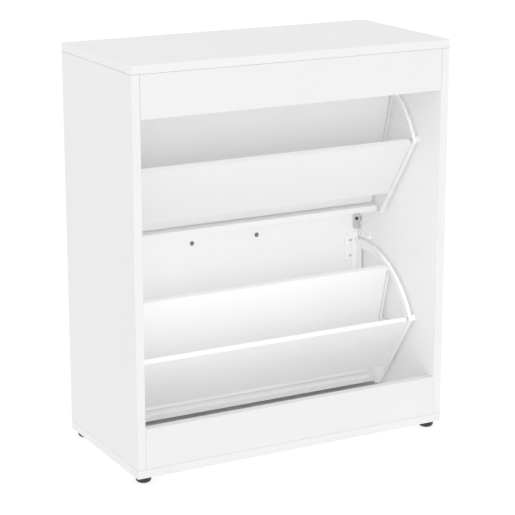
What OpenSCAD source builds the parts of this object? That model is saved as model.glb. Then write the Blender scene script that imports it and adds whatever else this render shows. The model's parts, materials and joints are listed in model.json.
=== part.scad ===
// Shoe cabinet with two flip-down bins behind inset doors and an open back.
// Frame: +Z up, doors towards -Y, open back towards +Y, origin on the floor below the
// centre of the outline. "Left" is -X, for someone who stands facing the doors.

/* [Carcass] */
// Outside width
cabinet_w = 728; // [600:1:900]
// Depth over the edges of the side panels, without the handles
cabinet_d = 341; // [330:1:400]
// Height of the body, without the feet
body_h = 840; // [820:1:900]
// Thickness of the carcass panels and the doors
panel_t = 18; // [17:0.5:19]
// Height of the upper rail across the open back
top_rail_h = 88; // [70:1:100]
// Height of the lower rail across the open back
bottom_rail_h = 86; // [70:1:100]

/* [Feet] */
// Height of the glide feet
foot_h = 15; // [14:1:25]
// Diameter of the glide feet
foot_d = 32; // [26:1:40]
// Distance from the panel edges to a foot's centre
foot_inset = 22; // [20:1:60]

/* [Doors] */
// Gap below, between and above the doors
door_gap = 6; // [6:0.5:10]
// Gap between a door and a side panel
door_side_gap = 2.5; // [2.5:0.5:4]
// How far the door faces lie behind the front edges
door_set_back = 3; // [1:0.5:6]
// Distance between the two screws of a handle
handle_spacing = 160; // [96:32:224]
// Distance from a door's top edge to its handle
handle_below_top = 34; // [25:1:60]
// How far a handle stands out from its door
handle_reach = 32; // [28:1:40]

/* [Bins] */
// Thickness of the boards inside the bins
bin_board_t = 12; // [10:0.5:13]
// Gap between a side panel and a bracket
wall_gap = 6; // [6:0.5:8]
// Length of a bin's sloping rear board, measured down its slope
rear_board_w = 158; // [140:1:160]
// Length of the divider board, measured down its slope
divider_w = 274; // [240:1:274]
// Depth of the bottom board, from the door backwards
bottom_board_w = 102; // [95:1:105]

/* [Motion] */
// Angle through which a flap tips open, in degrees
open_angle = 52; // [45:1:53]

/* [Hidden] */

$fn = 48;
eps = 0.01;
LEFT = -1;
RIGHT = 1;
LOWER = 0;
UPPER = 1;

// Places of the carcass. The outline runs from the handles to the rear edges, centred on Y.
outline_d = cabinet_d - door_set_back + handle_reach;
rear_y = outline_d / 2;
front_y = rear_y - cabinet_d;
underside_z = foot_h;
top_z = foot_h + body_h;
half_w = cabinet_w / 2;
inner_half_w = half_w - panel_t;
side_h = body_h - 2 * panel_t;
side_z = underside_z + panel_t;

// Places of the doors and of the flap frame, whose origin is on a door's rear face at its
// bottom edge: u runs back from the door and v runs up.
door_w = 2 * (inner_half_w - door_side_gap);
door_h = (side_h - 3 * door_gap) / 2;
door_pitch = door_h + door_gap;
door_back_y = front_y + door_set_back + panel_t;
door_z = side_z + door_gap;
pivot = [9, 74];

// Outline of a bin's side bracket, in the flap frame
arc_centre = [30, 94];
arc_r = 229.5;
bracket_rear_u = 240;
bracket_corner_v = 187;
bracket_bottom_v = 5;
rear_tilt = 35;
divider_tilt = 15;

// Sections of the moulded bracket. Depths w are measured in from the side panel's inner face.
web_t = 3;
rim_t = 2.5;
rib_t = 2.5;
web_w0 = wall_gap;
web_w1 = wall_gap + web_t;
arc_rim_w1 = wall_gap + 8;
rim_w1 = wall_gap + 10;
board_w0 = rim_w1 + 0.5;
boss_d = 9;
flange_t = 3;
flange_w1 = wall_gap + 13;
flange_top_v = 335;
hub_d = 17;
hub_w1 = wall_gap + 15;
pin_d = 8;
pin_fit = 0.06;

// Tabs of the bracket's door flange, with one slot and one screw each
tab_vs = [60, 100, 281.8, 317.7];
tab_size = [27, 17];
tab_w0 = 12;
tab_slot_w = 24;
tab_corner_r = 3;
slot_size = [9, 4.5];

// The lug that stops an open flap, and the block on the side panel that it meets
lug_r0 = 250;
lug_r1 = 261;
lug_angle = 27.3;
lug_half_angle = 1.3;
lug_reach = 5;
stop_contact_angle = 0.15;
block_t = 5.2;
block_u0 = 6;
block_v0 = 328;
block_v1 = 338;
block_screw_us = [16, 34];

// The angle on the side panel that a closed door rests against
angle_t = 2;
angle_w = 17;
angle_v0 = 343;
angle_v1 = 385;
angle_gap = 2;
angle_leaf_d = 11;
angle_corner_r = 6;
buffer_w = 9;
buffer_v = 367;
buffer_d = 8;
buffer_neck_d = 6;
buffer_head_t = 1.5;
angle_screw_vs = [357, 378];
angle_screw_u = 9;

// The steel plate that carries a flap's pivot pin
plate_t = 2;
plate_w = 16;
plate_half_l = 30;
plate_screw_dv = 20;
shoulder_d = 13;
shoulder_w1 = wall_gap - 0.4;
pin_w1 = wall_gap + 14;
pin_tail_d = 5;

// Screws: shank diameter, head diameter, head height, shank length
tab_screw = [3.5, 7, 2.2, 12];
board_screw = [3.5, 7, 2.2, 26];
plate_screw = [3.5, 6.6, 1.7, 14];
angle_screw = [3.5, 6.6, 1.8, 12];
block_screw = [3, 5.6, 1.6, 10];
foot_screw = [4, 8, 2.6, 20];
handle_screw = [4, 10.5, 2.4, 24];
head_top_share = 0.72;
head_play = 0.2;
recess_w = 1;
recess_depth = 1;
recess_share = 0.6;

// Knock-down fittings of the carcass
dowel_d = 8;
dowel_l = 30;
dowel_in_panel = 11;
cam_d = 15;
cam_t = 12.5;
cam_from_edge = 34;
bolt_d = 7;
bolt_hole_d = 8;
bolt_end_gap = 5;
bolt_thread_d = 5;
bolt_thread_l = 11;
cam_slot_w = 2;
cam_slot_depth = 2;
joint_inset = 45;
rail_joint_dz = 20;

// Feet: rounding of the lower edge, and the recess for the screw's head
foot_edge_r = 7;
foot_recess_d = 11;
foot_recess_h = 8;

// Handle
handle_bar_d = 12;
handle_overhang = 28;
handle_post_d = 9;
handle_thread_l = 10;

function unit(p) = p / norm(p);
function polar(r, a) = r * [cos(a), sin(a)];

// Points of a polygon's outline with every corner rounded to radius r
function rounded(points, r, steps = 5) = [
    for (i = [0 : len(points) - 1])
        let (
            corner = points[i],
            back = unit(points[(i + len(points) - 1) % len(points)] - corner),
            ahead = unit(points[(i + 1) % len(points)] - corner),
            half = acos(back * ahead) / 2,
            centre = corner + unit(back + ahead) * r / sin(half),
            start = corner + back * r / tan(half) - centre,
            end = corner + ahead * r / tan(half) - centre
        )
        for (s = [0 : steps]) centre + unit(start * (steps - s) + end * s) * r
];

// Direction down a board that leans back by tilt, and the direction square to it towards the door
function down(tilt) = [-sin(tilt), -cos(tilt)];
function doorward(tilt) = [-cos(tilt), sin(tilt)];

// Points that the bracket and the boards share: the top of the bracket's straight rear edge and
// each board's rear top corner
rear_edge_top = [bracket_rear_u, bracket_corner_v];
rear_board_top = rear_edge_top + doorward(rear_tilt) * 2.8 + down(rear_tilt) * 3;
divider_top = [148.8, 288];
bottom_board_v = 8;

// ---- Placing helpers ----

module on_side(side) {
    if (side == RIGHT) mirror([1, 0, 0]) children();
    else children();
}

module at_flap(level) {
    translate([0, door_back_y, door_z + level * door_pitch]) children();
}

// Extrudes a (u, v) outline between two depths w in from the left side panel's inner face
module extrude_in(w0, w1) {
    translate([w0 - inner_half_w, 0, 0]) rotate([90, 0, 90]) linear_extrude(w1 - w0) children();
}

// A round bar across the cabinet, from depth w0 to w1, centred on a (u, v) point
module cross_rod(w0, w1, p, d) {
    extrude_in(w0, w1) translate(p) circle(d = d);
}

// A board of a bin, drawn from its rear top corner down its slope
module board_outline(top, tilt, w, t) {
    polygon([
        top,
        top + down(tilt) * w,
        top + down(tilt) * w + doorward(tilt) * t,
        top + doorward(tilt) * t
    ]);
}

// The cross recess in the flat end of a head of diameter d that ends at the origin
module cross_recess(d, w = recess_w, depth = recess_depth) {
    for (turn = [0, 90]) rotate(turn)
        translate([-d * recess_share / 2, -w / 2, -depth]) cube([d * recess_share, w, 2 * depth]);
}

// A screw's shank along -Z from the origin
module shank(s) {
    translate([0, 0, -s[3]]) cylinder(h = s[3] + eps, d = s[0]);
}

// A raised-head screw along -Z with its head's underside at the origin
module screw(s) {
    difference() {
        cylinder(h = s[2], d1 = s[1], d2 = s[1] * head_top_share);
        translate([0, 0, s[2]]) cross_recess(s[1]);
    }
    shank(s);
}

// A countersunk screw along -Z with its head's flat top at the origin
module flush_screw(s) {
    difference() {
        union() {
            translate([0, 0, -s[2]]) cylinder(h = s[2], d1 = s[0], d2 = s[1]);
            translate([0, 0, -s[3]]) cylinder(h = s[3] - s[2] + eps, d = s[0]);
        }
        cross_recess(s[1]);
    }
}

module flush_screw_hole(s) {
    shank(s);
    translate([0, 0, -s[2]]) cylinder(h = s[2] + eps, d1 = s[0], d2 = s[1] + head_play);
}

// ---- Carcass ----

// Joints between the side panels and the top and bottom panels. Children are drawn for the left
// side, from the side panel's end up into the top panel.
side_dowel_y = rear_y - cabinet_d / 2;
side_cam_ys = [rear_y - joint_inset, front_y + joint_inset];
panel_mid_x = -half_w + panel_t / 2;

module each_side_joint() {
    for (side = [LEFT, RIGHT]) on_side(side) {
        translate([0, 0, side_z + side_h]) children();
        translate([0, 0, side_z]) mirror([0, 0, 1]) children();
    }
}

// Joints between the rails' ends and the side panels, drawn from the left panel's inner face
rail_y = rear_y - panel_t / 2;
top_rail_z = top_z - panel_t - top_rail_h;
bottom_rail_z = side_z;

module each_rail_joint() {
    for (side = [LEFT, RIGHT]) on_side(side) {
        translate([-inner_half_w, rail_y, top_rail_z + top_rail_h / 2]) children();
        translate([-inner_half_w, rail_y, bottom_rail_z + bottom_rail_h / 2]) children();
    }
}

module side_dowel_bodies(d) {
    translate([panel_mid_x, side_dowel_y, dowel_in_panel - dowel_l]) cylinder(h = dowel_l, d = d);
}

module rail_dowel_bodies(d) {
    translate([-dowel_in_panel, 0, rail_joint_dz]) rotate([0, 90, 0]) cylinder(h = dowel_l, d = d);
}

// A cam bolt standing on the joint plane at the origin: its thread up, its neck down
module cam_bolt() {
    neck_l = cam_from_edge - bolt_end_gap;
    translate([0, 0, -neck_l]) cylinder(h = neck_l, d = bolt_d);
    cylinder(h = bolt_thread_l, d = bolt_thread_d);
}

// The hole that a cam bolt needs on both sides of the joint plane
module cam_bolt_hole() {
    translate([0, 0, -cam_from_edge]) cylinder(h = cam_from_edge, d = bolt_hole_d);
    translate([0, 0, -1]) cylinder(h = bolt_thread_l + 1, d = bolt_thread_d);
}

// A cam's disc, with its flat on the surface at the origin and its body down -Z
module cam_disc() {
    difference() {
        translate([0, 0, -cam_t]) cylinder(h = cam_t, d = cam_d);
        cross_recess(cam_d, cam_slot_w, cam_slot_depth);
        translate([0, 0, -panel_t / 2]) rotate([-90, 0, 0]) cylinder(h = cam_d, d = bolt_hole_d);
    }
}

module cam_pocket() {
    translate([0, 0, -cam_t]) cylinder(h = cam_t + 1, d = cam_d);
}

// Places children on the inner face of the left side panel at each cam, +Z out of the pocket
// and +Y towards the joint plane
module side_cam_places() {
    for (y = side_cam_ys)
        translate([-inner_half_w, y, -cam_from_edge]) rotate([90, 0, 90]) children();
}

// The same on a rail's door-side face, with +Y towards the side panel
module rail_cam_place() {
    translate([cam_from_edge, -panel_t / 2, -rail_joint_dz])
        rotate([90, 90, 0]) mirror([0, 1, 0]) children();
}

module side_bolt_places() {
    for (y = side_cam_ys) translate([panel_mid_x, y, 0]) children();
}

module rail_bolt_place() {
    translate([0, 0, -rail_joint_dz]) rotate([0, -90, 0]) children();
}

module joint_holes() {
    each_side_joint() {
        side_dowel_bodies(dowel_d);
        side_bolt_places() cam_bolt_hole();
        side_cam_places() cam_pocket();
    }
    each_rail_joint() {
        rail_dowel_bodies(dowel_d);
        rail_bolt_place() cam_bolt_hole();
        rail_cam_place() cam_pocket();
    }
}

module dowels() {
    color("burlywood") {
        each_side_joint() side_dowel_bodies(dowel_d);
        each_rail_joint() rail_dowel_bodies(dowel_d);
    }
}

module cam_bolts() {
    color("silver") {
        each_side_joint() side_bolt_places() cam_bolt();
        each_rail_joint() rail_bolt_place() cam_bolt();
    }
}

module cam_locks() {
    color("darkgray") {
        each_side_joint() side_cam_places() cam_disc();
        each_rail_joint() rail_cam_place() cam_disc();
    }
}

module flat_panel(z) {
    translate([-half_w, front_y, z]) cube([cabinet_w, cabinet_d, panel_t]);
}

module top_panel() {
    color("white") difference() {
        flat_panel(top_z - panel_t);
        joint_holes();
    }
}

module bottom_panel() {
    color("white") difference() {
        flat_panel(underside_z);
        joint_holes();
        each_foot() foot_screw_shank();
    }
}

module side_panel(side) {
    color("white") difference() {
        on_side(side) translate([-half_w, front_y, side_z]) cube([panel_t, cabinet_d, side_h]);
        joint_holes();
        wall_screw_holes();
    }
}

module rail(z, h) {
    color("white") difference() {
        translate([-inner_half_w, rear_y - panel_t, z]) cube([2 * inner_half_w, panel_t, h]);
        joint_holes();
    }
}

// ---- Feet ----

module each_foot() {
    for (side = [LEFT, RIGHT], y = [front_y + foot_inset, rear_y - foot_inset])
        translate([side * (half_w - foot_inset), y, 0]) children();
}

module foot() {
    color("black") difference() {
        rotate_extrude() difference() {
            union() {
                square([foot_d / 2 - foot_edge_r, foot_h]);
                translate([0, foot_edge_r]) square([foot_d / 2, foot_h - foot_edge_r]);
                translate([foot_d / 2 - foot_edge_r, foot_edge_r]) circle(r = foot_edge_r);
            }
            translate([-foot_d, 0]) square([foot_d, foot_h]);
        }
        translate([0, 0, -1]) cylinder(h = foot_recess_h + 1, d = foot_recess_d);
        cylinder(h = foot_h + 1, d = foot_screw[0]);
    }
}

module place_foot(side, y) {
    translate([side * (half_w - foot_inset), y, 0]) foot();
}

module foot_screw_shank() {
    translate([0, 0, foot_recess_h - eps]) cylinder(h = foot_screw[3] - eps, d = foot_screw[0]);
}

module foot_screws() {
    color("silver") each_foot() translate([0, 0, foot_recess_h]) mirror([0, 0, 1]) screw(foot_screw);
}

// ---- Fittings on the side panels ----

// Points an upright screw into the left side panel, its head's underside at depth w
module wall_screw_place(w, p) {
    translate([w - inner_half_w, p[0], p[1]]) rotate([0, 90, 0]) children();
}

module each_wall_frame() {
    for (side = [LEFT, RIGHT], level = [LOWER, UPPER]) on_side(side) at_flap(level) children();
}

module plate_screw_places() {
    for (s = [-1, 1]) wall_screw_place(plate_t, pivot + [0, s * plate_screw_dv]) children();
}

module angle_screw_places() {
    for (v = angle_screw_vs) wall_screw_place(angle_t, [angle_screw_u, v]) children();
}

module block_screw_places() {
    for (u = block_screw_us)
        wall_screw_place(block_t - block_screw[2], [u, (block_v0 + block_v1) / 2]) children();
}

module wall_screw_holes() {
    each_wall_frame() {
        plate_screw_places() shank(plate_screw);
        angle_screw_places() shank(angle_screw);
        block_screw_places() shank(block_screw);
    }
}

module pivot_plate(side, level) {
    color("silver") on_side(side) at_flap(level) difference() {
        extrude_in(0, plate_t) translate(pivot) difference() {
            union() {
                square([plate_w, 2 * plate_half_l - plate_w], center = true);
                for (s = [-1, 1]) translate([0, s * (plate_half_l - plate_w / 2)]) circle(d = plate_w);
            }
            circle(d = pin_tail_d);
        }
        plate_screw_places() flush_screw_hole(plate_screw);
    }
}

module pivot_pins() {
    color("gainsboro") each_wall_frame() {
        cross_rod(0, plate_t + eps, pivot, pin_tail_d);
        cross_rod(plate_t, shoulder_w1, pivot, shoulder_d);
        cross_rod(shoulder_w1 - eps, pin_w1, pivot, pin_d);
    }
}

module pivot_plate_screws() {
    color("silver") each_wall_frame() plate_screw_places() flush_screw(plate_screw);
}

// The angle's flange lies behind the door's top corner and its leaf on the side panel
module stop_angle(side, level) {
    h = angle_v1 - angle_v0;
    color("darkgray") on_side(side) at_flap(level) difference() {
        union() {
            extrude_in(0, angle_t)
                translate([angle_gap, angle_v0]) square([angle_leaf_d, h]);
            translate([-inner_half_w, angle_gap + angle_t, angle_v0]) rotate([90, 0, 0])
                linear_extrude(angle_t) difference() {
                    union() {
                        translate([0, angle_corner_r]) square([angle_w, h - angle_corner_r]);
                        square([angle_w - angle_corner_r, h]);
                        translate([angle_w - angle_corner_r, angle_corner_r]) circle(r = angle_corner_r);
                    }
                    translate([buffer_w, buffer_v - angle_v0]) circle(d = buffer_neck_d);
                }
        }
        angle_screw_places() shank(angle_screw);
    }
}

module stop_angle_screws() {
    color("silver") each_wall_frame() angle_screw_places() screw(angle_screw);
}

// A push-in buffer: a pad that the door meets, a neck in the flange and a head behind it
module stop_buffers() {
    color("dimgray") each_wall_frame()
        translate([buffer_w - inner_half_w, 0, buffer_v]) rotate([-90, 0, 0]) {
            cylinder(h = angle_gap, d = buffer_d);
            cylinder(h = angle_gap + angle_t + eps, d = buffer_neck_d);
            translate([0, 0, angle_gap + angle_t]) cylinder(h = buffer_head_t, d = buffer_d);
        }
}

// The block's rear end is cut square to the lug's path, so that the lug meets it face to face
block_end_angle = lug_angle + lug_half_angle + open_angle + stop_contact_angle;

module stop_block(side, level) {
    color("white") on_side(side) at_flap(level) difference() {
        extrude_in(0, block_t) polygon([
            [block_u0, block_v0],
            [pivot[0] + (block_v0 - pivot[1]) / tan(block_end_angle), block_v0],
            [pivot[0] + (block_v1 - pivot[1]) / tan(block_end_angle), block_v1],
            [block_u0, block_v1]
        ]);
        block_screw_places() {
            shank(block_screw);
            cylinder(h = block_screw[2] + 1, d = block_screw[1]);
        }
    }
}

module stop_block_screws() {
    color("silver") each_wall_frame() block_screw_places() screw(block_screw);
}

// ---- Flap: door and handle ----

handle_v = door_h - handle_below_top;

module each_handle_screw() {
    for (s = [-1, 1]) translate([s * handle_spacing / 2, 0, handle_v]) rotate([-90, 0, 0]) children();
}

// Screws through the bracket's tabs into the door, heads towards the bin
module tab_screw_places() {
    for (v = tab_vs)
        translate([tab_slot_w - inner_half_w, flange_t, v]) rotate([-90, 0, 0]) children();
}

module door(level) {
    color("white") at_flap(level) difference() {
        translate([-door_w / 2, -panel_t, 0]) cube([door_w, panel_t, door_h]);
        each_handle_screw()
            translate([0, 0, -panel_t - 1]) cylinder(h = panel_t + 2, d = handle_screw[0]);
        for (side = [LEFT, RIGHT]) on_side(side) tab_screw_places() shank(tab_screw);
    }
}

module handle(level) {
    bar_y = -panel_t - handle_reach + handle_bar_d / 2;
    bar_l = handle_spacing + 2 * handle_overhang;
    color("silver") at_flap(level) difference() {
        union() {
            translate([-bar_l / 2, bar_y, handle_v]) rotate([0, 90, 0])
                cylinder(h = bar_l, d = handle_bar_d);
            each_handle_screw()
                translate([0, 0, bar_y]) cylinder(h = -panel_t - bar_y, d = handle_post_d);
        }
        each_handle_screw() translate([0, 0, -panel_t - handle_thread_l])
            cylinder(h = handle_thread_l + 1, d = handle_screw[0]);
    }
}

module handle_screws(level) {
    color("silver") at_flap(level) each_handle_screw() screw(handle_screw);
}

// ---- Flap: moulded bracket ----

// The bracket's side outline, shrunk by inset all round except where it is an arc of arc_r - inset
module bracket_outline(inset) {
    low = bracket_bottom_v + inset;
    back = bracket_rear_u - inset;
    high = arc_centre[1] + arc_r;
    edge = rear_edge_top + doorward(rear_tilt) * inset;
    edge_low = edge + down(rear_tilt) * (edge[1] - low) / cos(rear_tilt);
    edge_high = edge + down(rear_tilt) * (edge[0] - back) / sin(rear_tilt);
    intersection() {
        translate(arc_centre) circle(r = arc_r - inset, $fn = 180);
        polygon([[inset, low], edge_low, edge_high, [back, high], [inset, high]]);
    }
}

// The point at height v on a line through top that leans back by tilt, moved towards the door by dx
function line_at(top, tilt, v, dx) = [top[0] - (top[1] - v) * tan(tilt) - dx / cos(tilt), v];
function divider_at(v, dx) = line_at(divider_top, divider_tilt, v, dx);
function rear_edge_at(v, dx) = line_at(rear_edge_top, rear_tilt, v, dx);

// Windows in the web before and behind the divider, under one arc of their own
window_centre = [45, 116];
window_r = 185.5;
window_top_v = window_centre[1] + window_r;
window_corner_r = 6;
front_window_u = 22;
front_window_v = 150;
rear_window_v = 159;
rear_window_front_dx = 3.3;
rib_dx = bin_board_t + 1;

module windows() {
    intersection() {
        translate(window_centre) circle(r = window_r, $fn = 180);
        union() {
            polygon(rounded([
                [front_window_u, front_window_v],
                divider_at(front_window_v, rib_dx + 2 * rib_t),
                divider_at(window_top_v, rib_dx + 2 * rib_t),
                [front_window_u, window_top_v]
            ], window_corner_r));
            polygon(rounded([
                divider_at(rear_window_v, rear_window_front_dx),
                rear_edge_at(rear_window_v, rib_dx + 3 * rib_t),
                rear_edge_at(window_top_v, rib_dx + 3 * rib_t),
                divider_at(window_top_v, rear_window_front_dx)
            ], window_corner_r));
        }
    }
}

// Ribs that stiffen the web along the rear board's and the divider's door-side faces
module ribs() {
    intersection() {
        bracket_outline(rim_t / 2);
        union() {
            board_outline(rear_board_top + doorward(rear_tilt) * rib_dx, rear_tilt, rear_board_w, rib_t);
            board_outline(divider_top + doorward(divider_tilt) * rib_dx, divider_tilt, divider_w, rib_t);
        }
    }
}

module rim_outline() {
    difference() {
        bracket_outline(0);
        bracket_outline(rim_t);
    }
}

// The rim without its arc, which stands out less
module straight_rim_outline() {
    intersection() {
        rim_outline();
        translate(arc_centre) circle(r = arc_r - rim_t, $fn = 180);
    }
}

module bracket_flange() {
    w0 = wall_gap;
    h = flange_top_v - bracket_bottom_v;
    translate([-inner_half_w, 0, 0]) rotate([90, 0, 0]) mirror([0, 0, 1]) linear_extrude(flange_t)
        difference() {
            union() {
                translate([w0, bracket_bottom_v]) square([flange_w1 - w0, h]);
                for (v = tab_vs) translate([tab_w0, v]) polygon(rounded([
                    [0, -tab_size[1] / 2],
                    [tab_size[0], -tab_size[1] / 2],
                    [tab_size[0], tab_size[1] / 2],
                    [0, tab_size[1] / 2]
                ], tab_corner_r));
            }
            for (v = tab_vs) translate([tab_slot_w, v]) {
                square([slot_size[0] - slot_size[1], slot_size[1]], center = true);
                for (s = [-1, 1])
                    translate([s * (slot_size[0] - slot_size[1]) / 2, 0]) circle(d = slot_size[1]);
            }
        }
}

module lug() {
    extrude_in(wall_gap - lug_reach, wall_gap + eps) polygon([
        pivot + polar(lug_r0, lug_angle - lug_half_angle),
        pivot + polar(lug_r1, lug_angle - lug_half_angle),
        pivot + polar(lug_r1, lug_angle + lug_half_angle),
        pivot + polar(lug_r0, lug_angle + lug_half_angle)
    ]);
}

// Screws through the web into the boards' ends, at distances down each board
function board_mid(top, tilt, s) = top + down(tilt) * s + doorward(tilt) * bin_board_t / 2;
rear_screw_ss = [30, 128];
divider_screw_ss = [9, 224];
bottom_screw_u = 67;
board_screw_points = [
    for (s = rear_screw_ss) board_mid(rear_board_top, rear_tilt, s),
    for (s = divider_screw_ss) board_mid(divider_top, divider_tilt, s),
    [bottom_screw_u, bottom_board_v + bin_board_t / 2]
];

// Heads towards the side panel
module board_screw_places() {
    for (p = board_screw_points)
        translate([wall_gap - inner_half_w, p[0], p[1]]) rotate([0, -90, 0]) children();
}

// Bosses on the web that the boards' ends butt against
module board_bosses() {
    for (p = board_screw_points) cross_rod(web_w1 - eps, board_w0, p, boss_d);
}

module bracket(side, level) {
    color("whitesmoke") on_side(side) at_flap(level) difference() {
        union() {
            extrude_in(web_w0, web_w1) difference() {
                bracket_outline(0);
                windows();
            }
            extrude_in(web_w0, arc_rim_w1) rim_outline();
            extrude_in(web_w0, rim_w1) straight_rim_outline();
            extrude_in(web_w1 - eps, arc_rim_w1) ribs();
            board_bosses();
            cross_rod(web_w0, hub_w1, pivot, hub_d);
            bracket_flange();
            lug();
        }
        cross_rod(web_w0 - 1, hub_w1 + 1, pivot, pin_d + 2 * pin_fit);
        board_screw_places() shank(board_screw);
    }
}

module bracket_screws(level) {
    color("silver") at_flap(level)
        for (side = [LEFT, RIGHT]) on_side(side) tab_screw_places() screw(tab_screw);
}

// ---- Flap: boards ----

// A board between the two brackets, with pilot holes for the screws in its ends
module bin_board(level) {
    color("white") at_flap(level) difference() {
        extrude_in(board_w0, 2 * inner_half_w - board_w0) children();
        for (side = [LEFT, RIGHT]) on_side(side) board_screw_places() shank(board_screw);
    }
}

module rear_board(level) {
    bin_board(level) board_outline(rear_board_top, rear_tilt, rear_board_w, bin_board_t);
}

module divider_board(level) {
    bin_board(level) board_outline(divider_top, divider_tilt, divider_w, bin_board_t);
}

// The bottom board is notched at its front corners, where the brackets' flanges run down the door
module bottom_board(level) {
    notch_w = flange_w1 + 1;
    notch_d = flange_t + 1;
    notch_h = 2 * bottom_board_v + bin_board_t;
    difference() {
        bin_board(level) translate([0, bottom_board_v]) square([bottom_board_w, bin_board_t]);
        at_flap(level) for (side = [LEFT, RIGHT]) on_side(side)
            translate([-inner_half_w, -1, 0]) cube([notch_w, notch_d + 1, notch_h]);
    }
}

module board_screws(level) {
    color("silver") at_flap(level)
        for (side = [LEFT, RIGHT]) on_side(side) board_screw_places() screw(board_screw);
}

top_panel();
bottom_panel();
side_panel(LEFT);  // side_panel_left
side_panel(RIGHT);  // side_panel_right
rail(top_rail_z, top_rail_h);  // rear_top_rail
rail(bottom_rail_z, bottom_rail_h);  // rear_bottom_rail
dowels();
cam_bolts();
cam_locks();
place_foot(LEFT, front_y + foot_inset);  // foot_front_left
place_foot(RIGHT, front_y + foot_inset);  // foot_front_right
place_foot(LEFT, rear_y - foot_inset);  // foot_rear_left
place_foot(RIGHT, rear_y - foot_inset);  // foot_rear_right
foot_screws();
pivot_plate(LEFT, LOWER);  // pivot_plate_lower_left
pivot_plate(RIGHT, LOWER);  // pivot_plate_lower_right
pivot_plate(LEFT, UPPER);  // pivot_plate_upper_left
pivot_plate(RIGHT, UPPER);  // pivot_plate_upper_right
pivot_pins();
pivot_plate_screws();
stop_angle(LEFT, LOWER);  // stop_angle_lower_left
stop_angle(RIGHT, LOWER);  // stop_angle_lower_right
stop_angle(LEFT, UPPER);  // stop_angle_upper_left
stop_angle(RIGHT, UPPER);  // stop_angle_upper_right
stop_angle_screws();
stop_buffers();
stop_block(LEFT, LOWER);  // stop_block_lower_left
stop_block(RIGHT, LOWER);  // stop_block_lower_right
stop_block(LEFT, UPPER);  // stop_block_upper_left
stop_block(RIGHT, UPPER);  // stop_block_upper_right
stop_block_screws();
door(LOWER);  // lower_door
handle(LOWER);  // lower_handle
handle_screws(LOWER);  // lower_handle_screws
bracket(LEFT, LOWER);  // lower_bracket_left
bracket(RIGHT, LOWER);  // lower_bracket_right
bracket_screws(LOWER);  // lower_bracket_screws
rear_board(LOWER);  // lower_rear_board
divider_board(LOWER);  // lower_divider_board
bottom_board(LOWER);  // lower_bottom_board
board_screws(LOWER);  // lower_board_screws
door(UPPER);  // upper_door
handle(UPPER);  // upper_handle
handle_screws(UPPER);  // upper_handle_screws
bracket(LEFT, UPPER);  // upper_bracket_left
bracket(RIGHT, UPPER);  // upper_bracket_right
bracket_screws(UPPER);  // upper_bracket_screws
rear_board(UPPER);  // upper_rear_board
divider_board(UPPER);  // upper_divider_board
bottom_board(UPPER);  // upper_bottom_board
board_screws(UPPER);  // upper_board_screws
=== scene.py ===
import bpy
import json
import math
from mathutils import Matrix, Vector

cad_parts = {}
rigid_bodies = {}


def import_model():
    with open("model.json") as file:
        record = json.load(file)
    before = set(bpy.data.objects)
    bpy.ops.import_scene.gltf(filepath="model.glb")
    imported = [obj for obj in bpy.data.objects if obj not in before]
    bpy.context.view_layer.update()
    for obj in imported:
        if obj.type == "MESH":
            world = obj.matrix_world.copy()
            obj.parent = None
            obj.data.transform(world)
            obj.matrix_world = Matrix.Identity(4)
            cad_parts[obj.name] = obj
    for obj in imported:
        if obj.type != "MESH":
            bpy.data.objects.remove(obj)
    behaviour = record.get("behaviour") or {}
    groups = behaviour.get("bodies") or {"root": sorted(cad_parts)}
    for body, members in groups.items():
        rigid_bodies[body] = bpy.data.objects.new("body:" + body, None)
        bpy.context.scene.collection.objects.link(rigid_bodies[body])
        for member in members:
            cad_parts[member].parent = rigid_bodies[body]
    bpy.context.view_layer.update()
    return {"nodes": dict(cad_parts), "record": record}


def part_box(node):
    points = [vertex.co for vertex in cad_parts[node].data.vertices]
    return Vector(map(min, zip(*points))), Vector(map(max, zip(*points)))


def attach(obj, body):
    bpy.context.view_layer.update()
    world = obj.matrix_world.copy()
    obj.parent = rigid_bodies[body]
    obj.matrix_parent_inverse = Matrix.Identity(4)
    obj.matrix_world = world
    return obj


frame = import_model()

scene = bpy.context.scene
NODES = frame["nodes"]
BODIES = frame["record"]["behaviour"]["bodies"]
SLOTS = {row["node"]: row["material_slot"] for row in frame["record"]["subparts"]}
BODY_OF = {node: body for body, nodes in BODIES.items() for node in nodes}
MM = 0.001
X, Y, Z = Vector((1, 0, 0)), Vector((0, 1, 0)), Vector((0, 0, 1))

# ---- Camera, floor and light ----

CAMERA_AT = (1.801, 3.348, 1.416)
CAMERA_AZIMUTH = 151.60
CAMERA_ELEVATION = 15.13
LENS_MM = 128.8
SENSOR_MM = 36
VIEW_DEPTH_M = 100
FLOOR_HALF_M = 30


def direction(azimuth, elevation):
    """The way one looks at that azimuth (0 along +Y) from that elevation."""
    a, e = math.radians(azimuth), math.radians(elevation)
    return Vector((-math.sin(a) * math.cos(e), math.cos(a) * math.cos(e), -math.sin(e)))


def add_object(name, data):
    """A new object in the scene."""
    obj = bpy.data.objects.new(name, data)
    scene.collection.objects.link(obj)
    return obj


def add_camera():
    data = bpy.data.cameras.new("camera")
    data.lens = LENS_MM
    data.sensor_width = SENSOR_MM
    data.clip_end = VIEW_DEPTH_M
    camera = add_object("camera", data)
    camera.location = CAMERA_AT
    look = direction(CAMERA_AZIMUTH, CAMERA_ELEVATION)
    camera.rotation_euler = look.to_track_quat("-Z", "Y").to_euler()
    scene.camera = camera


def add_area_light(name, at, towards, size, power):
    data = bpy.data.lights.new(name, "AREA")
    data.shape = "RECTANGLE"
    data.size, data.size_y = size
    data.energy = power
    light = add_object(name, data)
    light.location = at
    aim = Vector(towards) - Vector(at)
    light.rotation_euler = aim.to_track_quat("-Z", "Y").to_euler()
    return light


def light_only(light, objects):
    """The light falls on these objects only."""
    receivers = bpy.data.collections.new(light.name + "_receivers")
    for obj in objects:
        receivers.objects.link(obj)
    light.light_linking.receiver_collection = receivers


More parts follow.
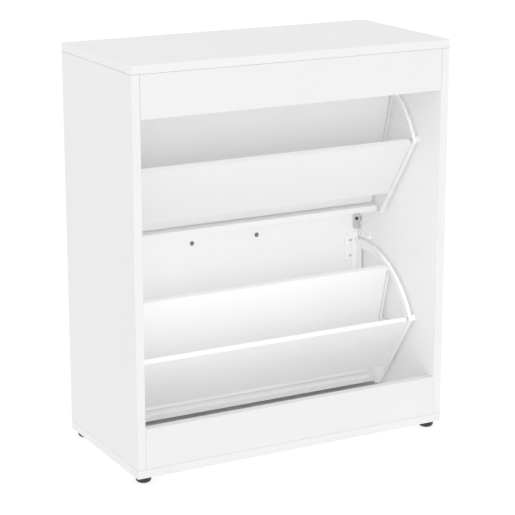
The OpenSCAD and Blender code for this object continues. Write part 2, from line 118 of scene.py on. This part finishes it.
def add_world(strength):
    """Even white light from all around, which is also the background."""
    world = bpy.data.worlds.new("studio")
    scene.world = world
    world.use_nodes = True
    background = world.node_tree.nodes["Background"]
    background.inputs["Color"].default_value = (1, 1, 1, 1)
    background.inputs["Strength"].default_value = strength


def add_floor(material):
    """A flat square under the cabinet."""
    h = FLOOR_HALF_M
    mesh = bpy.data.meshes.new("floor")
    mesh.from_pydata([(-h, -h, 0), (h, -h, 0), (h, h, 0), (-h, h, 0)], [], [(0, 1, 2, 3)])
    mesh.materials.append(material)
    add_object("floor", mesh)


# ---- Materials ----


class Shader:
    """A new material with its Principled shader, and short ways to add nodes to it."""

    def __init__(self, name, colour, roughness, **sockets):
        self.material = bpy.data.materials.new(name)
        self.material.use_nodes = True
        self.tree = self.material.node_tree
        self.main = self.tree.nodes["Principled BSDF"]
        self.main.inputs["Base Color"].default_value = (*colour, 1)
        self.main.inputs["Roughness"].default_value = roughness
        for key, value in sockets.items():
            self.main.inputs[key.replace("_", " ")].default_value = value
        self.place = self.add("ShaderNodeTexCoord").outputs["Object"]

    def add(self, kind, **settings):
        node = self.tree.nodes.new(kind)
        for key, value in settings.items():
            setattr(node, key, value)
        return node

    def link(self, source, target):
        self.tree.links.new(source, target)

    def stretched(self, scale):
        """The object's coordinates, in metres, multiplied by a scale for each axis."""
        node = self.add("ShaderNodeMapping")
        self.link(self.place, node.inputs["Vector"])
        node.inputs["Scale"].default_value = scale
        return node.outputs["Vector"]

    def noise(self, per_metre, detail=2, rough=0.5, stretch=None):
        """Noise of about 0 to 1, with that many features to a metre."""
        node = self.add("ShaderNodeTexNoise")
        self.link(self.stretched(stretch) if stretch else self.place, node.inputs["Vector"])
        node.inputs["Scale"].default_value = per_metre
        node.inputs["Detail"].default_value = detail
        node.inputs["Roughness"].default_value = rough
        return node.outputs["Fac"]

    def ranged(self, value, low, high, start=0.3, end=0.7):
        """A value from start to end becomes low to high. Most noise is between 0.3 and 0.7."""
        node = self.add("ShaderNodeMapRange")
        self.link(value, node.inputs["Value"])
        node.inputs["From Min"].default_value = start
        node.inputs["From Max"].default_value = end
        node.inputs["To Min"].default_value = low
        node.inputs["To Max"].default_value = high
        return node.outputs["Result"]

    def maths(self, operation, a, b):
        node = self.add("ShaderNodeMath", operation=operation)
        for socket, value in zip(node.inputs, (a, b)):
            if isinstance(value, (int, float)):
                socket.default_value = value
            else:
                self.link(value, socket)
        return node.outputs["Value"]

    def mixed(self, factor, a, b):
        node = self.add("ShaderNodeMix", data_type="RGBA")
        self.link(factor, node.inputs["Factor"])
        colour_inputs = [s for s in node.inputs if s.type == "RGBA"]
        for socket, value in zip(colour_inputs, (a, b)):
            if isinstance(value, tuple):
                socket.default_value = (*value, 1)
            else:
                self.link(value, socket)
        return [s for s in node.outputs if s.type == "RGBA"][0]

    def edges(self, radius, breakup):
        """1 near edges, within radius in metres, broken up by noise, and 0 elsewhere."""
        bevel = self.add("ShaderNodeBevel", samples=4)
        bevel.inputs["Radius"].default_value = radius
        flat = self.add("ShaderNodeNewGeometry").outputs["Normal"]
        dot = self.add("ShaderNodeVectorMath", operation="DOT_PRODUCT")
        self.link(bevel.outputs["Normal"], dot.inputs[0])
        self.link(flat, dot.inputs[1])
        # The cosine between the softened normal and the true one is 1 on a flat face
        turned = self.ranged(dot.outputs["Value"], low=1, high=0, start=0.75, end=0.99)
        patches = self.ranged(self.noise(breakup, detail=4), low=0.2, high=1)
        return self.maths("MULTIPLY", turned, patches)

    def colour(self, output):
        self.link(output, self.main.inputs["Base Color"])

    def roughness(self, output):
        self.link(output, self.main.inputs["Roughness"])

    def bump(self, heights, distance, strength):
        """A bump of that depth in metres from a height between 0 and 1."""
        node = self.add("ShaderNodeBump")
        node.inputs["Distance"].default_value = distance
        node.inputs["Strength"].default_value = strength
        self.link(heights, node.inputs["Height"])
        self.link(node.outputs["Normal"], self.main.inputs["Normal"])


def tinted(colour, factor):
    """A colour made darker or lighter by a factor."""
    return tuple(c * factor for c in colour)


def white_board():
    """Melamine: matt white foil with a fine orange-peel grain."""
    tone = (0.81, 0.81, 0.81)
    s = Shader("white_board", tone, 0.45, Specular_IOR_Level=0.4)
    clouds = s.noise(3, detail=3)
    grain = s.noise(700)
    base = s.mixed(s.ranged(clouds, 0, 1), tinted(tone, 0.985), tinted(tone, 1.01))
    base = s.mixed(s.ranged(grain, 0, 0.35), base, tinted(tone, 0.96))
    base = s.mixed(s.edges(radius=0.0012, breakup=60), base, (0.74, 0.74, 0.73))
    s.colour(base)
    s.roughness(s.ranged(grain, 0.4, 0.52))
    s.bump(s.maths("ADD", grain, s.noise(240, detail=1)), distance=0.00012, strength=0.35)
    return s.material


def edge_band():
    """The thin plastic band on a board's narrow faces: smoother than the board's faces."""
    tone = (0.82, 0.82, 0.82)
    s = Shader("edge_band", tone, 0.36, Specular_IOR_Level=0.45)
    clouds = s.noise(9, detail=3)
    grain = s.noise(500)
    s.colour(s.mixed(s.ranged(clouds, 0, 1), tinted(tone, 0.985), tinted(tone, 1.01)))
    s.roughness(s.ranged(grain, 0.32, 0.42))
    s.bump(grain, distance=0.00008, strength=0.25)
    return s.material


def white_plastic():
    """Satin moulded plastic with a fine spark-eroded grain and slight flow clouds."""
    tone = (0.84, 0.84, 0.84)
    s = Shader("white_plastic", tone, 0.34, IOR=1.49)
    flow = s.noise(25, detail=3, rough=0.6)
    grain = s.noise(1500)
    base = s.mixed(s.ranged(flow, 0, 1), tinted(tone, 0.98), tinted(tone, 1.01))
    s.colour(s.mixed(s.edges(radius=0.0006, breakup=150), base, tinted(tone, 0.95)))
    s.roughness(s.ranged(grain, 0.3, 0.42))
    s.bump(grain, distance=0.00006, strength=0.4)
    return s.material


def black_plastic():
    """Black moulded plastic with a fine grain, scuffed along its height and greyer on its edges."""
    tone = (0.022, 0.022, 0.023)
    s = Shader("black_plastic", tone, 0.5)
    grain = s.noise(1100, detail=3)
    scuffs = s.noise(180, detail=5, rough=0.7, stretch=(1, 1, 0.3))
    base = s.mixed(s.ranged(grain, 0, 1), tone, tinted(tone, 1.5))
    s.colour(s.mixed(s.edges(radius=0.0015, breakup=300), base, (0.07, 0.07, 0.072)))
    s.roughness(s.ranged(scuffs, 0.42, 0.62))
    s.bump(grain, distance=0.0001, strength=0.5)
    return s.material


def rubber():
    """Dull dark rubber with dust."""
    tone = (0.035, 0.035, 0.036)
    s = Shader("rubber", tone, 0.8, Specular_IOR_Level=0.3)
    dust = s.noise(400, detail=4, rough=0.7)
    s.colour(s.mixed(s.ranged(dust, 0, 1), tone, (0.07, 0.069, 0.066)))
    s.roughness(s.ranged(dust, 0.7, 0.92))
    s.bump(s.noise(2500), distance=0.00008, strength=0.5)
    return s.material


def metal(name, tone, bright, rough, edge, stretch=(1, 1, 1), depth=0.00004):
    """Bare or plated metal: clouds between two tones, fine marks that a stretch makes longer along
    an axis, and bright edges of that width in metres."""
    s = Shader(name, tone, rough, Metallic=1.0)
    clouds = s.noise(90, detail=4, rough=0.6)
    marks = s.noise(900, detail=3, rough=0.6, stretch=stretch)
    base = s.mixed(s.ranged(clouds, 0, 1), tone, bright)
    s.colour(s.mixed(s.edges(edge, breakup=400), base, tinted(bright, 1.12)))
    fine, coarse = s.ranged(marks, rough - 0.07, rough + 0.07), s.ranged(clouds, -0.03, 0.03)
    s.roughness(s.maths("ADD", fine, coarse))
    s.bump(marks, depth, strength=0.5)
    return s.material


def beech():
    """Beech dowels: long pores and faint year rings."""
    light, dark = (0.62, 0.42, 0.25), (0.5, 0.31, 0.17)
    s = Shader("beech", light, 0.6)
    rings = s.noise(300, detail=3, rough=0.6, stretch=(1, 1, 0.15))
    pores = s.noise(2200, rough=0.6, stretch=(1, 1, 0.08))
    s.colour(s.mixed(s.ranged(rings, 0, 1), light, dark))
    s.roughness(s.ranged(pores, 0.5, 0.7))
    s.bump(pores, distance=0.0001, strength=0.5)
    return s.material


def floor_material():
    """A plain pale light table."""
    s = Shader("studio_floor", (0.2, 0.2, 0.2), 0.9, Specular_IOR_Level=0.0)
    s.main.inputs["Emission Color"].default_value = (1, 1, 1, 1)
    s.main.inputs["Emission Strength"].default_value = 0.84
    return s.material


MATERIALS = {
    "white_board": white_board(),
    "white_plastic": white_plastic(),
    "black_plastic": black_plastic(),
    "plate_steel": metal(
        "plate_steel", (0.64, 0.65, 0.66), (0.74, 0.74, 0.73), 0.42, edge=0.0008, stretch=(1, 1, 0.1)
    ),
    "pin_steel": metal(
        "pin_steel", (0.55, 0.56, 0.57), (0.62, 0.62, 0.61), 0.3, edge=0.0006, stretch=(0.2, 1, 1)
    ),
    "screw_steel": metal("screw_steel", (0.66, 0.66, 0.67), (0.76, 0.76, 0.75), 0.4, edge=0.0004),
    "dark_screw": metal("dark_screw", (0.2, 0.2, 0.2), (0.3, 0.3, 0.29), 0.4, edge=0.0004),
    "handle_steel": metal(
        "handle_steel", (0.56, 0.56, 0.555), (0.575, 0.575, 0.57), 0.3, edge=0.0008, stretch=(0.012, 1, 1)
    ),
    "zinc": metal("zinc", (0.5, 0.51, 0.53), (0.56, 0.57, 0.58), 0.48, edge=0.0008, depth=0.0001),
    "rubber": rubber(),
    "beech": beech(),
}

# ---- CAD nodes: soft edges and finishes ----

# How close vertices are welded before and after the rounding, up to which angle faces count as
# one flat face, and from which angle an edge is rounded
WELD_MM = 0.001
CLEAN_MM = 0.002
FLAT_DEG = 0.5
SHARP_DEG = 40
ROUNDING_STEPS = 2
EDGE_RADIUS_MM = {
    "white_board": 0.5,
    "white_plastic": 0.35,
    "black_plastic": 0.5,
    "plate_steel": 0.25,
    "pin_steel": 0.3,
    "screw_steel": 0.15,
    "handle_steel": 0.6,
    "zinc": 0.3,
    "rubber": 0.3,
    "beech": 0.5,
}


def finish_node(name, obj):
    """Material and softly rounded edges for a CAD node. Its flat faces are merged before the
    rounding, and slivers that the rounding leaves are welded after it. Handle screws are dark."""
    slot = SLOTS[name]
    obj.data.materials.clear()
    obj.data.materials.append(MATERIALS["dark_screw" if "handle_screws" in name else slot])
    obj.modifiers.new("weld", "WELD").merge_threshold = WELD_MM * MM
    flat = obj.modifiers.new("flat_faces", "DECIMATE")
    flat.decimate_type = "DISSOLVE"
    flat.angle_limit = math.radians(FLAT_DEG)
    bevel = obj.modifiers.new("soft_edges", "BEVEL")
    bevel.width = EDGE_RADIUS_MM[slot] * MM
    bevel.segments = ROUNDING_STEPS
    bevel.limit_method = "ANGLE"
    bevel.angle_limit = math.radians(SHARP_DEG)
    obj.modifiers.new("clean", "WELD").merge_threshold = CLEAN_MM * MM


for node_name, node_object in NODES.items():
    finish_node(node_name, node_object)

# ---- Strips: edge bands and joint lines ----


def add_strip(name, outline, start, end, across, out, material, body):
    """A straight strip from start to end with an outline of (place across, place outwards)."""
    count = len(outline)
    verts = [place + across * a + out * o for place in (start, end) for a, o in outline]
    sides = [(i, (i + 1) % count, count + (i + 1) % count, count + i) for i in range(count)]
    ends = [tuple(range(count - 1, -1, -1)), tuple(range(count, 2 * count))]
    mesh = bpy.data.meshes.new(name)
    mesh.from_pydata(verts, [], sides + ends)
    mesh.materials.append(material)
    piece = add_object(name, mesh)
    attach(piece, body)


# The bands: thickness, how far they stand proud, how far they stay clear of their board's faces
# and ends, and the rounding of their outer edges
BAND_T = 0.8 * MM
BAND_PROUD = 0.12 * MM
BAND_SEAM = 0.35 * MM
BAND_END = 0.4 * MM
BAND_ROUNDING = 0.45 * MM
ARC_STEPS = 3


def span(node, axis):
    """The lowest and highest place of a CAD node along an axis."""
    along = [vertex.co.dot(axis) for vertex in NODES[node].data.vertices]
    return min(along), max(along)


def band_profile(low, high, face):
    """Outline of a band across its board: (place across, place outwards), with rounded outer edges."""
    r = BAND_ROUNDING
    points = [(low, face - BAND_T)]
    for centre, start in ((low + r, 180), (high - r, 90)):
        for step in range(ARC_STEPS + 1):
            turn = math.radians(start - 90 * step / ARC_STEPS)
            points.append((centre + r * math.cos(turn), face + BAND_PROUD - r + r * math.sin(turn)))
    points.append((high, face - BAND_T))
    return points


def add_band(name, node, out, across, material):
    """A thin strip along the narrow face of a board that looks out."""
    along = out.cross(across)
    low, high = span(node, across)
    start, end = span(node, along)
    outline = band_profile(low + BAND_SEAM, high - BAND_SEAM, span(node, out)[1])
    places = along * (start + BAND_END), along * (end - BAND_END)
    add_strip(name, outline, *places, across, out, material, BODY_OF[node])


def tilted(degrees):
    """Along a bin's sloping board upwards, and square to it towards the bin's back."""
    t = math.radians(degrees)
    return Vector((0, math.sin(t), math.cos(t))), Vector((0, math.cos(t), -math.sin(t)))


REAR_TILT_DEG = 35
DIVIDER_TILT_DEG = 15
REAR_UP, REAR_BACK = tilted(REAR_TILT_DEG)
DIVIDER_UP, DIVIDER_BACK = tilted(DIVIDER_TILT_DEG)
ALL_ROUND = {"left": (-X, Z), "right": (X, Z), "front": (-Y, Z), "rear": (Y, Z)}
# For each board, the name of each band with the way it looks and the way across it
BAND_PLACES = [
    ("top_panel", ALL_ROUND),
    ("bottom_panel", ALL_ROUND),
    ("side_panel_left", {"front": (-Y, X), "rear": (Y, X)}),
    ("side_panel_right", {"front": (-Y, X), "rear": (Y, X)}),
    ("rear_top_rail", {"under": (-Z, Y)}),
    ("rear_bottom_rail", {"top": (Z, Y)}),
]
for level in ("lower", "upper"):
    BAND_PLACES += [
        (level + "_door", {"left": (-X, Y), "right": (X, Y), "under": (-Z, Y), "top": (Z, Y)}),
        (level + "_rear_board", {"top": (REAR_UP, REAR_BACK), "under": (-REAR_UP, REAR_BACK)}),
        (level + "_divider_board", {"top": (DIVIDER_UP, DIVIDER_BACK)}),
        (level + "_bottom_board", {"rear": (Y, Z)}),
    ]
band_material = edge_band()
for board, places in BAND_PLACES:
    for place, (out, across) in places.items():
        add_band(board + "_band_" + place, board, out, across, band_material)

# Joint lines: painted shade of the hairline gaps where the carcass boards meet, as dark low ridges on the
# boards
GAP_W = 0.55 * MM
GAP_CREST_W = 0.22 * MM
GAP_DEPTH = 0.9 * MM
GAP_PROUD = 0.06 * MM
GAP_OUTLINE = [
    (-GAP_W / 2, -GAP_DEPTH),
    (-GAP_W / 2, 0),
    (-GAP_CREST_W / 2, GAP_PROUD),
    (GAP_CREST_W / 2, GAP_PROUD),
    (GAP_W / 2, 0),
    (GAP_W / 2, -GAP_DEPTH),
]


def painted_gap_shade(name, dark, dusty):
    """Painted shade of the gap between two boards: a dark tone, with dust in places."""
    s = Shader(name, dark, 0.95, Specular_IOR_Level=0.1)
    dust = s.noise(120, detail=4, rough=0.7)
    s.colour(s.mixed(s.ranged(dust, 0, 1), dark, dusty))
    s.bump(s.noise(900), distance=0.0001, strength=0.5)
    return s.material


def add_gap_shade_line(name, start, end, out, material):
    """A dark line of painted gap shade from start to end on the carcass faces that look out."""
    start, end = Vector(start), Vector(end)
    across = out.cross((end - start).normalized())
    add_strip(name, GAP_OUTLINE, start, end, across, out, material, "carcass")


# Painted shade: the joints at the top get the darker tone, those at the bottom a lighter one.
gap_shade_materials = {
    "top": painted_gap_shade("open_gap", (0.2, 0.2, 0.2), (0.34, 0.34, 0.33)),
    "bottom": painted_gap_shade("tight_gap", (0.42, 0.42, 0.42), (0.56, 0.56, 0.55)),
}
left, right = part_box("side_panel_left"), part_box("side_panel_right")
outer_x, inner_x = right[1].x, right[0].x
front_y, rear_y, low_z, high_z = left[0].y, left[1].y, left[0].z, left[1].z
for end_name, z, rail in (
    ("top", high_z, "rear_top_rail"),
    ("bottom", low_z, "rear_bottom_rail"),
):
    gap_shade_material = gap_shade_materials[end_name]
    start = "gap_" + end_name
    add_gap_shade_line(start + "_rear", (-outer_x, rear_y, z), (outer_x, rear_y, z), Y, gap_shade_material)
    for side_name, sign in (("left", -1), ("right", 1)):
        front_corner, rear_corner = (sign * outer_x, front_y, z), (sign * outer_x, rear_y, z)
        inner_corner = (sign * inner_x, front_y, z)
        add_gap_shade_line(start + "_" + side_name, front_corner, rear_corner, X * sign, gap_shade_material)
        add_gap_shade_line(start + "_front_" + side_name, inner_corner, front_corner, -Y, gap_shade_material)
    low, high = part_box(rail)
    for side_name, x in (("left", low.x), ("right", high.x)):
        name = "gap_" + rail + "_" + side_name
        add_gap_shade_line(name, (x, high.y, low.z), (x, high.y, high.z), Y, gap_shade_material)

# ---- Studio ----

# Most light is the world's even white. The key adds a little from behind the open back. Two fills
# without shadows shine on the inside only: one from above, and one from low down, which leaves
# out the upper flap. A bottom board's rear band gets the low one only.
KEY_AT, KEY_TOWARDS, KEY_SIZE, KEY_W = (0.4, 4.5, 1.2), (0, 0, 0.45), (3.0, 2.0), 18
FILL_TOWARDS, FILL_SIZE = (0, 0, 0.4), (1.2, 1.2)
FILL_HIGH_AT, FILL_HIGH_W = (2.0, 3.4, 3.0), 58
FILL_LOW_AT, FILL_LOW_W = (1.8, 3.4, 0.1), 22
WORLD_STRENGTH = 1.0
BOUNCES, DIFFUSE_BOUNCES = 24, 20
BOTTOM_BAND = "_bottom_board_band_rear"
# How the names of the pieces start that the fills leave alone
OUTSIDE = (
    "top_panel", "bottom_panel", "side_panel_right", "side_panel_left_band",
    "rear_", "foot_", "gap_",
)


def is_inside(obj):
    """Whether the fills may shine on it: a piece, and not one of the outside."""
    return obj.type == "MESH" and obj.parent and not obj.name.startswith(OUTSIDE)


def add_fill(name, at, power, lit):
    """A light without shadows on some pieces only."""
    fill = add_area_light(name, at, FILL_TOWARDS, FILL_SIZE, power)
    fill.data.use_shadow = False
    light_only(fill, lit)


add_camera()
add_floor(floor_material())
add_world(WORLD_STRENGTH)
add_area_light("key", KEY_AT, KEY_TOWARDS, KEY_SIZE, KEY_W)
inside = [obj for obj in scene.objects if is_inside(obj)]
bands = [obj for obj in inside if obj.name.endswith(BOTTOM_BAND)]
high_lit = [obj for obj in inside if obj not in bands]
low_lit = [obj for obj in inside if obj in bands or not obj.name.startswith("upper_")]
add_fill("fill_high", FILL_HIGH_AT, FILL_HIGH_W, high_lit)
add_fill("fill_low", FILL_LOW_AT, FILL_LOW_W, low_lit)
scene.view_settings.view_transform = "Standard"
scene.cycles.max_bounces = BOUNCES
scene.cycles.diffuse_bounces = DIFFUSE_BOUNCES
